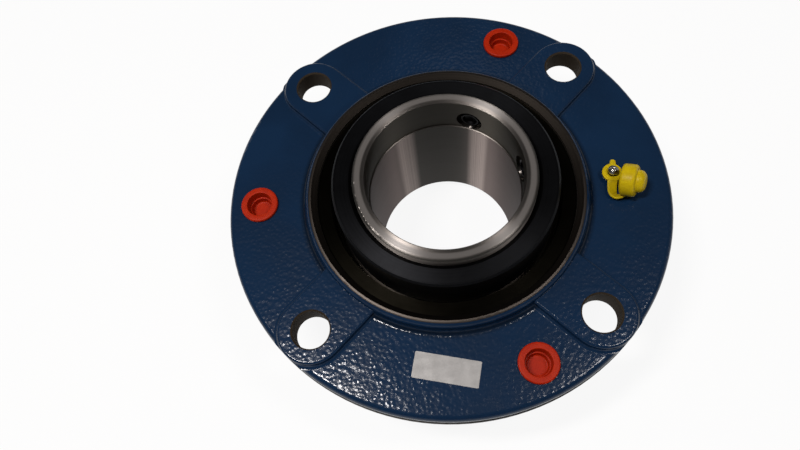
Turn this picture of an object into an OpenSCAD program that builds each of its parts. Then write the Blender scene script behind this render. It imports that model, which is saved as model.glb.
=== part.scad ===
// Flange bearing unit with a pilot on its mounting side.
// The origin is the centre of the mounting face, on the shaft axis. +Z points to the locking collar.
// A cast housing holds a two-row roller bearing whose outer raceway is a sphere, so that the
// inner ring can lean a little to follow a shaft that is out of line.

/* [Housing] */
// Distance from the bolt circle to the edge of the round flange
flange_edge = 20.625; // [18:0.005:24]
// Thickness of the flange between its pads
flange_t = 10.4; // [9:0.2:14]
// Height of the bolt pads above the flange
pad_h = 4; // [3:0.1:5]
// Half width of a bolt pad where its side walls stand
pad_half_w = 20.2; // [18:0.1:23]
// Wall of the pilot around the bearing, which enters the machine frame
pilot_wall = 13.65; // [12:0.05:16]
// Length of the pilot past the rear seal's seat
pilot_lip = 6.2; // [5:0.1:8]
// Wall of the hub around the bearing, on the collar's side
hub_wall = 7.5; // [7:0.1:9]
// Height of the hub rim above the mounting face
hub_h = 18.3; // [17.5:0.1:22]
// Width of the machined chamfer at the mouth of the bore
rim_w = 3.4; // [2.5:0.1:4]

/* [Bolts and jack holes] */
// Distance from the pilot's side to the bolt circle, which is then 9 1/4 in across
bolt_offset = 23.825; // [22:0.005:27]
// Diameter of each bolt hole
bolt_hole_d = 22.2; // [18:0.1:24]
// Number of bolt holes
bolt_count = 4; // [4:1:4]
// Core diameter of the tapped jack screw holes
jack_hole_d = 16.5; // [14:0.1:18]
// Angle of the two jack holes either side of the +X axis
jack_angle = 67.5; // [66:0.5:72]

/* [Bearing] */
// Thinnest wall of the outer ring, at the middle of its raceway
outer_ring_wall = 7; // [6:0.1:8]
// Width of the outer ring
bearing_w = 46; // [45.6:0.1:48]
// Depth of the bearing centre below the mounting face
bearing_depth = 38; // [37.8:0.1:39]
// Largest diameter of a roller
roller_d = 19; // [18:0.1:20]
// Depth that the rollers sink below the inner ring's land
roller_sink = 1; // [0.6:0.1:1.2]
// Length of a roller
roller_l = 18; // [17:0.1:18.2]
// Least distance between two rollers of a row
roller_gap = 2.6; // [2.2:0.1:5]
// Contact angle of the rollers
contact_angle = 11; // [10.8:0.1:11.6]

/* [Inner ring and collar] */
// Bore of the inner ring, for a shaft of 3 11/16 in
bore_d = 93.66; // [92:0.01:94]
// Wall of the inner ring at its ground lands
ring_wall = 8.17; // [7.6:0.01:9.4]
// Length of the inner ring from the bearing centre to its collar end
ring_front = 75.7; // [72:0.1:82]
// Length of the inner ring from the bearing centre to its other end
ring_rear = 33.8; // [33:0.1:38]
// Extra radius of the relief at the collar end of the bore
relief_step = 0.77; // [0.3:0.01:1.2]
// Depth of that relief
relief_l = 26.2; // [25:0.1:30]
// Wall of the locking collar
collar_wall = 12.95; // [12:0.05:14]
// Gap between the front seal and the locking collar
collar_gap = 6.6; // [5.6:0.1:8]
// Width of the countersink in the collar's face around the ring
collar_sink = 2.6; // [1:0.1:4]
// Height of the ring's end above the collar
collar_setback = 4.8; // [4:0.1:6]
// Thread diameter of the set screws
screw_d = 15.88; // [12:0.01:17]
// Length of a set screw
screw_l = 19.05; // [16:0.05:21]
// Width across flats of the hexagon socket
socket_af = 7.94; // [6:0.01:9]
// Middle direction of the two set screws, from +X towards +Y
screw_angle = 38.4; // [20:0.1:60]
// Angle between the two set screws
screw_spread = 58; // [45:0.5:90]

/* [Seals and retaining ring] */
// Height of the spherical seats of the seals above the raceway
seat_step = 3; // [2.5:0.1:3.5]
// Axial thickness of a seal's steel shroud
shroud_t = 3.7; // [3:0.1:3.8]
// Sheet thickness of a shroud
shroud_wall = 1.5; // [1:0.1:2]
// Width of the retaining ring inside the bearing bore
retaining_lap = 8.4; // [7:0.1:8.8]
// Thickness of the retaining ring, two turns
retaining_t = 3.2; // [2.4:0.1:3.6]

/* [Grease nipple] */
// Distance of the nipple from the hub's wall
nipple_offset = 14.6; // [12:0.1:17]
// Direction of the nipple from +X
nipple_angle = 1.8; // [0:0.1:6]
// Height of the nipple above the flange
nipple_h = 9.6; // [9:0.1:12]
// Width across flats of the nipple's hexagon
nipple_af = 8; // [7:0.1:8.4]
// Diameter of the nipple's round head
nipple_head_d = 6.2; // [6:0.1:6.8]
// Outside diameter of the protective cap's skirt
cap_d = 19.4; // [18:0.1:21]
// Length of the protective cap
cap_l = 14; // [13:0.1:16]
// Diameter of the cap's nose
cap_nose_d = 13.4; // [12:0.1:15]
// Width of the cap's strap
strap_w = 5.8; // [4:0.1:6.5]

/* [Jack hole plugs and label] */
// Diameter of a plug's head
plug_head_d = 23.5; // [21:0.1:26]
// Thickness of a plug's head
plug_head_t = 2.3; // [1.8:0.1:3]
// Diameter of the recess in a plug
plug_recess_d = 12.6; // [10:0.1:13.2]
// Length of the plain foil label
label_l = 38; // [30:0.5:44]
// Width of the plain foil label
label_w = 15; // [10:0.5:18]

/* [Hidden] */
$fn = 96;

// Fits and clearances
running_gap = 0.12;
slide_fit = 0.05;
seal_gap = 0.15;
eps = 0.01;

// Housing
bore_half = bore_d / 2;
land_r = bore_half + ring_wall;
raceway_r = land_r + roller_d - roller_sink;
bore_r = raceway_r + outer_ring_wall;
hub_r = bore_r + hub_wall;
pilot_r = bore_r + pilot_wall;
bolt_r = pilot_r + bolt_offset;
flange_r = bolt_r + flange_edge;
half_w = bearing_w / 2;
centre_z = -bearing_depth;
seat_h = half_w + 9;
shroud_h = half_w + 8;
pilot_l = bearing_depth + seat_h + pilot_lip;
pad_top = flange_t + pad_h;
rim_r = bore_r + rim_w;
rim_drop = rim_w * 0.85;
hub_round = hub_r - rim_r;
hub_fillet = hub_h - flange_t - hub_round;
edge_round = 3.6;
machined_band = 2.2;
edge_draft = 0.5;
pad_fillet = 2.4;
pad_round = pad_h - pad_fillet;
bolt_chamfer = 0.9;
jack_r = bolt_r;
jack_angles = [jack_angle, 180, 360 - jack_angle];
gallery_depth = 1.6;
drill_r = 1.5;
drill_cross_r = bore_r + 6;

// Bearing, measured from its own centre
roller_r = roller_d / 2;
pitch = raceway_r - running_gap - roller_r;
crown_r = raceway_r - 2;
row_r = pitch * cos(contact_angle);
row_z = pitch * sin(contact_angle);
roller_count = floor(2 * PI * row_r / (roller_d + roller_gap));
end_gap = 0.3;
pocket_gap = 0.25;
cage_wall = 1.6;
cage_rim = 1.9;
cage_flange = 4.2;
race_edge = 2;

// Inner ring and collar
ring_top = centre_z + ring_front;
ring_l = ring_front + ring_rear;
relief_r = bore_half + relief_step;
ring_round = 1.8;
bore_chamfer = 1.5;
lip_chamfer = 0.6;
collar_top = ring_top - collar_setback;
collar_z = centre_z + shroud_h + collar_gap;
collar_l = collar_top - collar_z;
collar_r = land_r + slide_fit + collar_wall;
collar_chamfer = 1.2;
screw_r = screw_d / 2;
screw_tip = bore_half + 1.6;
screw_z = collar_top - 12.8;
screw_hole_gap = 0.35;
screw_angles = [screw_angle + screw_spread / 2, screw_angle - screw_spread / 2];

// Seals, measured from the bearing centre, alike at both ends
seat_r = raceway_r + seat_step;
lip_wall = 3.2;
retaining_depth = 2.4;
retaining_z = hub_h - rim_drop - retaining_depth - retaining_t;
retaining_r = bore_r - retaining_lap;
retaining_gap = 1.2;
retaining_ends = 80;
retaining_notch_r = 4.5;
groove_depth = 3;

// Nipple, measured from the flange's face
nipple_r = hub_r + nipple_offset;
nipple_x = nipple_r * cos(nipple_angle);
nipple_y = nipple_r * sin(nipple_angle);
nipple_seat = 7;
shank_r = 3.1;
neck_r = 2.3;
ring_plate = 1.6;
hex_h = 3.4;
ball_r = 1.1;
mouth_r = 0.75;
throat_r = 1.35;
spring_wire = 0.3;
spring_turns = 5;
ball_z = flange_t + nipple_h - 1.9;
spring_top = ball_z - ball_r - 0.05;
spring_l = 5.5;
strap_t = 1.2;
ring_r = nipple_af * 0.75;
ring_hole_r = neck_r + 0.5;
ring_z = flange_t + hex_h + 0.1;
tab_r = 1.7;
tab_turn = 78;

// Cap, lying on its side on the flange with its nose a little up
cap_r = cap_d / 2;
cap_skirt = cap_l * 0.65;
cap_wall = 2.2;
cap_round = 2.2;
cap_lift = 18;
cap_turn = -22;
cap_x = nipple_x + 3.6;
cap_y = nipple_y - 6.9;
cap_z = flange_t + 0.1 + (cap_r - cap_round) * cos(cap_lift) + cap_round * (1 - sin(cap_lift));
cap_axis = [cos(cap_lift) * cos(cap_turn), cos(cap_lift) * sin(cap_turn), sin(cap_lift)];
cap_side = [sin(cap_turn), -cos(cap_turn), 0];
strap_side = 50;
strap_out = cap_side * cos(strap_side) + cross(cap_axis, cap_side) * sin(strap_side);

// Plugs and label
plug_body_r = jack_hole_d / 2 - 0.1;
plug_body_l = flange_t - 1.2;
plug_taper = 0.35;
label_t = 0.2;
label_r = hub_r + (flange_r - hub_r) * 0.433;
label_angle = 266.7;
label_turn = -9.2;

// Corner of a profile that is left after a rounding is cut from it
module outer_round(x, y, r) {
    difference() {
        translate([x - r, y - r]) square(r + 1);
        translate([x - r, y - r]) circle(r);
    }
}

// Hollow fillet that stands on y beside a wall at x
module inner_fillet(x, y, r) {
    difference() {
        translate([x - eps, y - eps]) square(r + eps);
        translate([x + r, y + r]) circle(r);
    }
}

// Ring with a rectangular section, from its radii and heights
module ring_between(r_in, r_out, z_low, z_high) {
    rotate_extrude() translate([r_in, z_low]) square([r_out - r_in, z_high - z_low]);
}

// Section of the casting: flange, hub and pilot, with the bore still full
module housing_section() {
    difference() {
        union() {
            square([flange_r, machined_band]);
            square([flange_r - edge_draft, flange_t]);
            square([hub_r, hub_h]);
            inner_fillet(hub_r, flange_t, hub_fillet);
            translate([0, -pilot_l]) square([pilot_r, pilot_l + eps]);
        }
        outer_round(flange_r - edge_draft, flange_t, edge_round);
        outer_round(hub_r, hub_h, hub_round);
        translate([pilot_r, -pilot_l]) rotate(45) square(race_edge * 1.414, center = true);
    }
}

// Section of the bore: mouth chamfer, bearing seat, ring groove, grease gallery and rear seal seat
module bore_section() {
    polygon([
        [0, hub_h + 1],
        [rim_r + 1 / 0.85, hub_h + 1],
        [bore_r, hub_h - rim_drop],
        [bore_r, centre_z - half_w],
        [0, centre_z - half_w]
    ]);
    translate([0, retaining_z - slide_fit])
        square([bore_r + groove_depth, retaining_t + 2 * slide_fit]);
    translate([0, centre_z + half_w - 0.4])
        square([bore_r + gallery_depth, half_w - 9]);
    intersection() {
        translate([0, centre_z]) circle(seat_r);
        translate([0, centre_z - seat_h]) square([bore_r, seat_h]);
    }
    translate([0, -pilot_l - 1])
        square([sqrt(seat_r * seat_r - seat_h * seat_h) + 0.6, pilot_l + centre_z - seat_h + 1 + eps]);
}

// Half of the section across a bolt pad, from its middle outwards
module pad_half_section() {
    difference() {
        union() {
            translate([0, -1]) square([pad_half_w, pad_h + 1]);
            inner_fillet(pad_half_w, 0, pad_fillet);
            translate([0, -1]) square([pad_half_w + pad_fillet, 1]);
        }
        outer_round(pad_half_w, pad_h, pad_round);
    }
}

// Pad that runs out from the hub and ends round the bolt hole
module bolt_pad() {
    translate([hub_r - 3, 0, flange_t])
        rotate([90, 0, 90])
        linear_extrude(bolt_r - hub_r + 3) {
            pad_half_section();
            mirror([1, 0]) pad_half_section();
        }
    translate([bolt_r, 0, flange_t]) rotate_extrude() pad_half_section();
}

// Straight hole with a small chamfer at its top
module chamfered_hole(r, z_low, z_high, chamfer) {
    translate([0, 0, z_low - 1]) cylinder(r = r, h = z_high - z_low + 2);
    translate([0, 0, z_high - chamfer])
        cylinder(r1 = r, r2 = r + chamfer + 1, h = chamfer + 1);
}

// Slanted drilling that leads grease from the nipple to the gallery in the bore
module grease_drilling() {
    start_z = flange_t - nipple_seat;
    run = nipple_r - bore_r;
    drop = start_z * run / (nipple_r - drill_cross_r);
    translate([nipple_r, 0, start_z])
        rotate([0, -90 - atan(drop / run), 0])
        cylinder(r = drill_r, h = run / cos(atan(drop / run)) + 1, $fn = 32);
}

module housing() {
    color("#1d3a57")
    difference() {
        union() {
            rotate_extrude() housing_section();
            intersection() {
                for (i = [0 : bolt_count - 1])
                    rotate([0, 0, 45 + i * 360 / bolt_count]) bolt_pad();
                cylinder(r = flange_r - edge_draft, h = pad_top + 1);
            }
        }
        rotate_extrude() bore_section();
        for (i = [0 : bolt_count - 1])
            rotate([0, 0, 45 + i * 360 / bolt_count])
                translate([bolt_r, 0, 0]) chamfered_hole(bolt_hole_d / 2, 0, pad_top, bolt_chamfer);
        for (a = jack_angles)
            rotate([0, 0, a]) translate([jack_r, 0, 0]) chamfered_hole(jack_hole_d / 2, 0, flange_t, 0.4);
        rotate([0, 0, nipple_angle]) {
            translate([nipple_r, 0, flange_t - nipple_seat])
                cylinder(r = shank_r + slide_fit, h = nipple_seat + 1);
            grease_drilling();
        }
    }
}

// Outer ring with its spherical raceway
module outer_ring() {
    color("#b9b7b3")
    translate([0, 0, centre_z])
    rotate_extrude()
    difference() {
        translate([0, -half_w]) square([bore_r - slide_fit, bearing_w]);
        circle(raceway_r);
        for (s = [-1, 1])
            translate([bore_r, s * half_w]) rotate(45) square(race_edge * 1.414, center = true);
    }
}

// Turned ring between the bearing and the retaining ring, with the front seal's seat
module seal_carrier() {
    bottom = centre_z + half_w;
    color("#8e8a83")
    difference() {
        rotate_extrude()
        difference() {
            translate([0, bottom]) square([bore_r - slide_fit, retaining_z - bottom]);
            intersection() {
                translate([0, centre_z]) circle(seat_r);
                translate([0, bottom - 1]) square([bore_r, seat_h - half_w + 1]);
            }
            translate([0, centre_z + seat_h - eps]) square([retaining_r, bore_r]);
        }
        for (i = [0 : 3])
            rotate([0, 0, 22.5 + i * 90])
                translate([retaining_r - 3, 0, bottom + 1.8])
                rotate([0, 90, 0])
                cylinder(r = 1.2, h = bore_r - retaining_r + 4, $fn = 24);
    }
}

// Spiral retaining ring: two flat turns, each with its own gap at the end of the coil
module retaining_ring() {
    turn_t = retaining_t / 2;
    outer = bore_r + groove_depth - 0.1;
    color("#6f6a62")
    for (k = [0, 1])
        translate([0, 0, retaining_z + k * turn_t])
        difference() {
            ring_between(retaining_r, outer, 0, turn_t);
            rotate([0, 0, retaining_ends + k * 9])
                translate([bore_r, 0, -1]) cylinder(r = retaining_notch_r, h = turn_t + 2);
            rotate([0, 0, retaining_ends + k * 9])
                translate([retaining_r - 3, -retaining_gap / 2, -1])
                cube([outer - retaining_r + 6, retaining_gap, turn_t + 2]);
        }
}

// Space swept by a row of rollers, as a section in the plane of one roller's axis
module race_groove_section() {
    groove_r = crown_r + 1;
    translate([row_r, row_z])
        rotate(contact_angle)
        intersection() {
            translate([groove_r - roller_r - running_gap, 0]) circle(groove_r);
            translate([-roller_d, -roller_l / 2 - end_gap])
                square([roller_d * 2, roller_l + 2 * end_gap]);
        }
}

module inner_ring() {
    low = ring_top - ring_l;
    color("#c4bdb2")
    difference() {
        rotate_extrude()
        difference() {
            translate([bore_half, low]) square([land_r - bore_half, ring_l]);
            outer_round(land_r, ring_top, ring_round);
            translate([0, ring_top + low]) mirror([0, 1]) outer_round(land_r, ring_top, ring_round);
            translate([0, ring_top - relief_l]) square([relief_r, relief_l + 1]);
            translate([relief_r, ring_top]) rotate(45) square(lip_chamfer * 1.414, center = true);
            translate([bore_half, low]) rotate(45) square(bore_chamfer * 1.414, center = true);
            translate([0, centre_z]) race_groove_section();
            translate([0, centre_z]) mirror([0, 1]) race_groove_section();
        }
        for (a = screw_angles)
            rotate([0, 0, a])
                translate([0, 0, screw_z])
                rotate([0, 90, 0])
                cylinder(r = screw_r + screw_hole_gap, h = land_r + 1);
    }
}

module locking_collar() {
    color("#2b2f36")
    difference() {
        rotate_extrude()
        difference() {
            translate([land_r + slide_fit, collar_z])
                square([collar_r - land_r - slide_fit, collar_l]);
            for (z = [collar_z, collar_top])
                translate([collar_r, z]) rotate(45) square(collar_chamfer * 1.414, center = true);
            translate([land_r + slide_fit, collar_z])
                rotate(45) square(collar_chamfer * 1.414, center = true);
            translate([land_r + slide_fit, collar_top])
                rotate(45) square(collar_sink * 1.414, center = true);
        }
        for (a = screw_angles)
            rotate([0, 0, a])
                translate([0, 0, screw_z])
                rotate([0, 90, 0])
                cylinder(r = screw_r + slide_fit, h = collar_r + 1);
    }
}

// Set screw with a cup point towards the shaft and a hexagon socket outwards
module set_screw(a) {
    cup_r = screw_r * 0.5;
    rotate([0, 0, a])
        translate([screw_tip, 0, screw_z])
        rotate([0, 90, 0])
        difference() {
            rotate_extrude()
            difference() {
                square([screw_r, screw_l]);
                translate([screw_r, 0]) rotate(45) square(3.4, center = true);
                translate([screw_r, screw_l]) rotate(45) square(1.6, center = true);
            }
            translate([0, 0, -1]) cylinder(r1 = cup_r + 1, r2 = 0, h = cup_r + 1);
            translate([0, 0, screw_l * 0.5])
                cylinder(r = socket_af / sqrt(3), h = screw_l, $fn = 6);
        }
}

module set_screw_1() { color("#23262b") set_screw(screw_angles[0]); }
module set_screw_2() { color("#23262b") set_screw(screw_angles[1]); }

// Floating ring between the two rows, with faces that follow the roller ends
module guide_ring() {
    inner = land_r + 0.35;
    outer = row_r + 0.5;
    slope = tan(contact_angle);
    at_axis = row_z - (roller_l / 2 + end_gap) / cos(contact_angle) - row_r * slope;
    color("#8f8c86")
    translate([0, 0, centre_z])
    rotate_extrude()
    polygon([
        [inner, at_axis + inner * slope],
        [outer, at_axis + outer * slope],
        [outer, -at_axis - outer * slope],
        [inner, -at_axis - inner * slope]
    ]);
}

// Window cage of one row: a cone between two rims, with a turned-in flange at its outer end
module cage_section() {
    half_window = roller_l / 2 + end_gap;
    translate([row_r, row_z])
        rotate(contact_angle) {
            translate([-cage_wall / 2, -half_window - cage_rim])
                square([cage_wall, 2 * (half_window + cage_rim)]);
            translate([-cage_wall / 2 - cage_flange, half_window + cage_rim - cage_wall])
                square([cage_flange + eps, cage_wall]);
        }
}

module row_cage() {
    difference() {
        rotate_extrude() cage_section();
        for (i = [0 : roller_count - 1])
            rotate([0, 0, i * 360 / roller_count])
                translate([row_r, 0, row_z])
                rotate([0, -contact_angle, 0])
                cylinder(r = roller_r + pocket_gap, h = roller_l + 2 * end_gap, center = true);
    }
}

module front_cage() { color("#b5893f") translate([0, 0, centre_z]) row_cage(); }
module rear_cage() { color("#b5893f") translate([0, 0, centre_z]) mirror([0, 0, 1]) row_cage(); }

// Barrel roller on its own axis
module roller() {
    rotate_extrude()
    intersection() {
        translate([roller_r - crown_r, 0]) circle(crown_r);
        difference() {
            translate([0, -roller_l / 2]) square([roller_r, roller_l]);
            for (s = [-1, 1])
                translate([roller_r - 0.6, s * roller_l / 2])
                    rotate(45) square(1.2, center = true);
        }
    }
}

module roller_row() {
    for (i = [0 : roller_count - 1])
        rotate([0, 0, i * 360 / roller_count])
            translate([row_r, 0, row_z])
            rotate([0, -contact_angle, 0])
            roller();
}

module front_rollers() { color("#d2d0cc") translate([0, 0, centre_z]) roller_row(); }
module rear_rollers() { color("#d2d0cc") translate([0, 0, centre_z]) mirror([0, 0, 1]) roller_row(); }

// Steel shroud of a seal: a disc whose rim is part of a sphere and slides in the seat
module shroud() {
    rotate_extrude()
    difference() {
        intersection() {
            circle(seat_r - seal_gap);
            translate([land_r + lip_wall, shroud_h - shroud_t]) square([bore_r, shroud_t]);
        }
        translate([0, shroud_h - shroud_t - 1])
            square([seat_r - seal_gap - 6.5 - shroud_wall, shroud_t - shroud_wall + 1]);
    }
}

// Rubber lip on the inner edge of a shroud, running on the ring's land
module seal_lip() {
    top = shroud_h;
    rotate_extrude()
    polygon([
        [land_r + lip_wall, top],
        [land_r + lip_wall, top - shroud_t],
        [land_r + lip_wall - 0.9, top - shroud_t],
        [land_r + 0.9, top - shroud_t * 0.75],
        [land_r + 0.08, top - shroud_t * 0.5],
        [land_r + 0.08, top - shroud_t * 0.4],
        [land_r + 1.4, top - shroud_t * 0.3],
        [land_r + 0.5, top]
    ]);
}

module front_shroud() { color("#7d7264") translate([0, 0, centre_z]) shroud(); }
module front_seal_lip() { color("#24221f") translate([0, 0, centre_z]) seal_lip(); }
module rear_shroud() { color("#7d7264") translate([0, 0, centre_z]) mirror([0, 0, 1]) shroud(); }
module rear_seal_lip() { color("#24221f") translate([0, 0, centre_z]) mirror([0, 0, 1]) seal_lip(); }

// Grease nipple: shank in the flange, hexagon, neck and round head, with a bore for ball and spring
module grease_nipple() {
    top = flange_t + nipple_h;
    head_r = nipple_head_d / 2;
    color("#c9c7c1")
    translate([nipple_x, nipple_y, 0])
    difference() {
        union() {
            translate([0, 0, flange_t - nipple_seat + 0.5])
                cylinder(r = shank_r, h = nipple_seat - 0.5 + eps);
            translate([0, 0, flange_t])
                cylinder(r = nipple_af / sqrt(3), h = hex_h, $fn = 6);
            translate([0, 0, flange_t + hex_h - eps])
                cylinder(r = neck_r, h = nipple_h - hex_h - 2.6);
            rotate_extrude()
            difference() {
                translate([0, top - 3.2]) square([head_r, 3.2]);
                translate([head_r, top]) rotate(45) square(2, center = true);
                translate([head_r, top - 3.2]) rotate(45) square(1.2, center = true);
            }
        }
        translate([0, 0, spring_top - spring_l - 0.4])
            cylinder(r = throat_r, h = ball_z - spring_top + spring_l + 0.4);
        translate([0, 0, ball_z]) sphere(r = throat_r);
        translate([0, 0, ball_z]) cylinder(r = mouth_r, h = 5);
        translate([0, 0, flange_t - nipple_seat]) cylinder(r = mouth_r, h = nipple_seat);
    }
}

module nipple_ball() {
    color("#d8d6d2") translate([nipple_x, nipple_y, ball_z + 0.1]) sphere(r = ball_r);
}

// Coil of round wire, as rings of points along a helix
module nipple_spring() {
    sides = 6;
    steps = 12 * spring_turns;
    coil_r = throat_r - spring_wire - 0.1;
    rise = spring_l - 2 * spring_wire;
    pts = [
        for (i = [0 : steps]) for (j = [0 : sides - 1])
            let (a = 360 * spring_turns * i / steps, b = 360 * j / sides)
            [
                (coil_r + spring_wire * cos(b)) * cos(a),
                (coil_r + spring_wire * cos(b)) * sin(a),
                rise * i / steps + spring_wire * sin(b)
            ]
    ];
    walls = [
        for (i = [0 : steps - 1]) for (j = [0 : sides - 1])
            [
                i * sides + j,
                (i + 1) * sides + j,
                (i + 1) * sides + (j + 1) % sides,
                i * sides + (j + 1) % sides
            ]
    ];
    ends = [
        [for (j = [0 : sides - 1]) j],
        [for (j = [sides - 1 : -1 : 0]) steps * sides + j]
    ];
    color("#a9a7a3")
    translate([nipple_x, nipple_y, spring_top - spring_l + spring_wire])
    polyhedron(pts, concat(walls, ends));
}

// Middle line of the strap: from the ring down to the flange, round a bend and into the cap's skirt
function strap_point(t) =
    let (
        low = flange_t + 0.3 + strap_t / 2,
        start = [nipple_x - 0.6, nipple_y - ring_r + 0.8, ring_z + ring_plate / 2],
        bend_1 = [nipple_x - 2.4, nipple_y - ring_r * 2.25, low],
        bend_2 = [nipple_x - 0.6, nipple_y - ring_r * 2.75, low],
        finish = [cap_x, cap_y, cap_z] + cap_axis * 2.8 + strap_out * (cap_r - strap_t / 2)
    )
    pow(1 - t, 3) * start + 3 * t * pow(1 - t, 2) * bend_1
        + 3 * t * t * (1 - t) * bend_2 + pow(t, 3) * finish;

function unit(v) = v / norm(v);

// Flat strap that follows the curve: level at the ring, and along the cap's skirt at its end
module strap() {
    steps = 20;
    pts = [
        for (i = [0 : steps])
            let (
                t = i / steps,
                p = strap_point(t),
                ahead = unit(strap_point(t + 0.02) - strap_point(t - 0.02)),
                level = unit(cross(ahead, [0, 0, 1])),
                wide = unit(level * (1 - t * t) + cross(strap_out, cap_axis) * t * t),
                thick = unit(cross(wide, ahead))
            )
            for (c = [[-1, -1], [1, -1], [1, 1], [-1, 1]])
                p + wide * c[0] * strap_w / 2 + thick * c[1] * strap_t / 2
    ];
    walls = [
        for (i = [0 : steps - 1]) for (j = [0 : 3])
            [i * 4 + j, i * 4 + (j + 1) % 4, (i + 1) * 4 + (j + 1) % 4, (i + 1) * 4 + j]
    ];
    polyhedron(pts, concat([[3, 2, 1, 0]], walls, [[for (j = [0 : 3]) steps * 4 + j]]));
}

// Half section of the cap, from the open end at zero to the nose
module cap_section() {
    nose_r = cap_nose_d / 2;
    difference() {
        union() {
            square([cap_r, cap_skirt]);
            square([nose_r, cap_l]);
            translate([nose_r, cap_skirt]) inner_fillet(0, 0, 1.2);
        }
        mirror([0, 1]) outer_round(cap_r, 0, cap_round);
        outer_round(cap_r, cap_skirt, cap_round);
        outer_round(nose_r, cap_l, cap_round * 1.8);
        translate([0, -1]) square([cap_r - cap_wall, cap_skirt - cap_wall + 1]);
        translate([0, -1]) square([nipple_head_d / 2 + 0.2, cap_l - 2 * cap_wall + 1]);
    }
}

module grease_cap() {
    color("#e3c81c") {
        translate([nipple_x, nipple_y, ring_z])
            difference() {
                union() {
                    cylinder(r = ring_r, h = ring_plate);
                    rotate([0, 0, tab_turn]) hull() {
                        translate([ring_r * 0.8, 0, 0]) cylinder(r = tab_r * 1.3, h = ring_plate * 0.8);
                        translate([ring_r + tab_r * 0.8, 0, 0]) cylinder(r = tab_r, h = ring_plate * 0.8);
                    }
                }
                translate([0, 0, -1]) cylinder(r = ring_hole_r, h = ring_plate + 2);
            }
        strap();
        translate([cap_x, cap_y, cap_z])
            rotate([0, 90 - cap_lift, cap_turn])
            rotate_extrude() cap_section();
    }
}

// Plug for a jack hole: a rounded head on a hollow tapered body
module jack_plug(a) {
    head_r = plug_head_d / 2;
    recess_r = plug_recess_d / 2;
    low = -plug_body_l;
    rotate([0, 0, a])
        translate([jack_r, 0, flange_t])
        rotate_extrude()
        difference() {
            union() {
                square([head_r, plug_head_t]);
                polygon([
                    [0, low],
                    [plug_body_r - plug_taper, low],
                    [plug_body_r, -0.5],
                    [plug_body_r, eps],
                    [0, eps]
                ]);
            }
            outer_round(head_r, plug_head_t, plug_head_t * 0.45);
            translate([0, low + 1.6]) square([recess_r, plug_body_l + plug_head_t]);
            translate([0, plug_head_t * 0.35]) square([recess_r + 1.4, plug_head_t]);
        }
}

module jack_plug_1() { color("#d8381a") jack_plug(jack_angles[0]); }
module jack_plug_2() { color("#d8381a") jack_plug(jack_angles[1]); }
module jack_plug_3() { color("#d8381a") jack_plug(jack_angles[2]); }

module label() {
    color("#c9cbcd")
    rotate([0, 0, label_angle])
        translate([label_r, 0, flange_t])
        rotate([0, 0, label_turn - label_angle])
        linear_extrude(label_t)
        square([label_l, label_w], center = true);
}

housing();
outer_ring();
seal_carrier();
retaining_ring();
inner_ring();
locking_collar();
set_screw_1();
set_screw_2();
guide_ring();
front_cage();
rear_cage();
front_rollers();
rear_rollers();
front_shroud();
front_seal_lip();
rear_shroud();
rear_seal_lip();
grease_nipple();
nipple_ball();
nipple_spring();
grease_cap();
jack_plug_1();
jack_plug_2();
jack_plug_3();
label();
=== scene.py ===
# %% [markdown]
# # A flange bearing unit
#
# The object is a round cast flange with a pilot below it. It holds a self-aligning roller bearing, and
# a locking collar clamps the bearing's inner ring to a shaft. The CAD model gives every solid its size
# and place. This lesson dresses it: paint that was sprayed over a rough casting, ground and turned
# steel, black oxide, moulded plastic, rubber and foil. Everything is in metres, in the frame of the
# CAD model: the origin is the centre of the mounting face, and +Z is the shaft axis.

from math import atan2, cos, pi, radians, sin, sqrt, tan

import bmesh
import bpy
from mathutils import Matrix, Vector


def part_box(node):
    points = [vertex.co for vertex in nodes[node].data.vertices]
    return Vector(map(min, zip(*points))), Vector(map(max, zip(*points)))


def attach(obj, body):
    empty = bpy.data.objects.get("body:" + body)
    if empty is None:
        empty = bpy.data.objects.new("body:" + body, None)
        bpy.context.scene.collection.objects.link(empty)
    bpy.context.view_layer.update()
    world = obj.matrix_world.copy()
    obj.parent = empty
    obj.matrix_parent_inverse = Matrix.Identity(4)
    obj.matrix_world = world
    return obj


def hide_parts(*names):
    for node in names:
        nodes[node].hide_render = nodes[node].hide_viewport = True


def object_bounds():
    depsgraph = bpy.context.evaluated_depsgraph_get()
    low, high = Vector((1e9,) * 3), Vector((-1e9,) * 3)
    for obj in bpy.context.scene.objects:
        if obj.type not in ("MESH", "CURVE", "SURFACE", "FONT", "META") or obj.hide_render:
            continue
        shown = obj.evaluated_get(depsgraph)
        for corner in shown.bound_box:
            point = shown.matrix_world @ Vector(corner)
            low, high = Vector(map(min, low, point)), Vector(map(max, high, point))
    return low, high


MM = 0.001
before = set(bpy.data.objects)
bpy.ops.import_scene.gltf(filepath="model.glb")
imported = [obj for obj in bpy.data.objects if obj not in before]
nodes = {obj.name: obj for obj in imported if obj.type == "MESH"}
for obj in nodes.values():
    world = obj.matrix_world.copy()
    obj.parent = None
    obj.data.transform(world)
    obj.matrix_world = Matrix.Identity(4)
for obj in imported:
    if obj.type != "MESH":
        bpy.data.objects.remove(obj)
cad_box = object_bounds()

# %% [markdown]
# ## The camera
#
# The picture was taken from the front and above, about 40 cm from the flange, so the near side looks
# larger than the far side. The lens and the place were found by fitting circles of known size, such
# as the bolt circle, to the picture. A camera that close keeps the same perspective.

# %% Camera
CAMERA_PLACE = Vector((-3.595, -171.625, 377.560)) * MM
CAMERA_TURN = (radians(22.2279), radians(4.8660), radians(-2.1946))
LENS_MM = 29.125

camera_data = bpy.data.cameras.new("camera")
camera_data.sensor_width = 36
camera_data.lens = LENS_MM
camera_data.clip_start = 0.01
camera = bpy.data.objects.new("camera", camera_data)
camera.location = CAMERA_PLACE
camera.rotation_euler = CAMERA_TURN
bpy.context.scene.collection.objects.link(camera)
bpy.context.scene.camera = camera
print("camera to origin:", round(CAMERA_PLACE.length, 3), "m")

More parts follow.
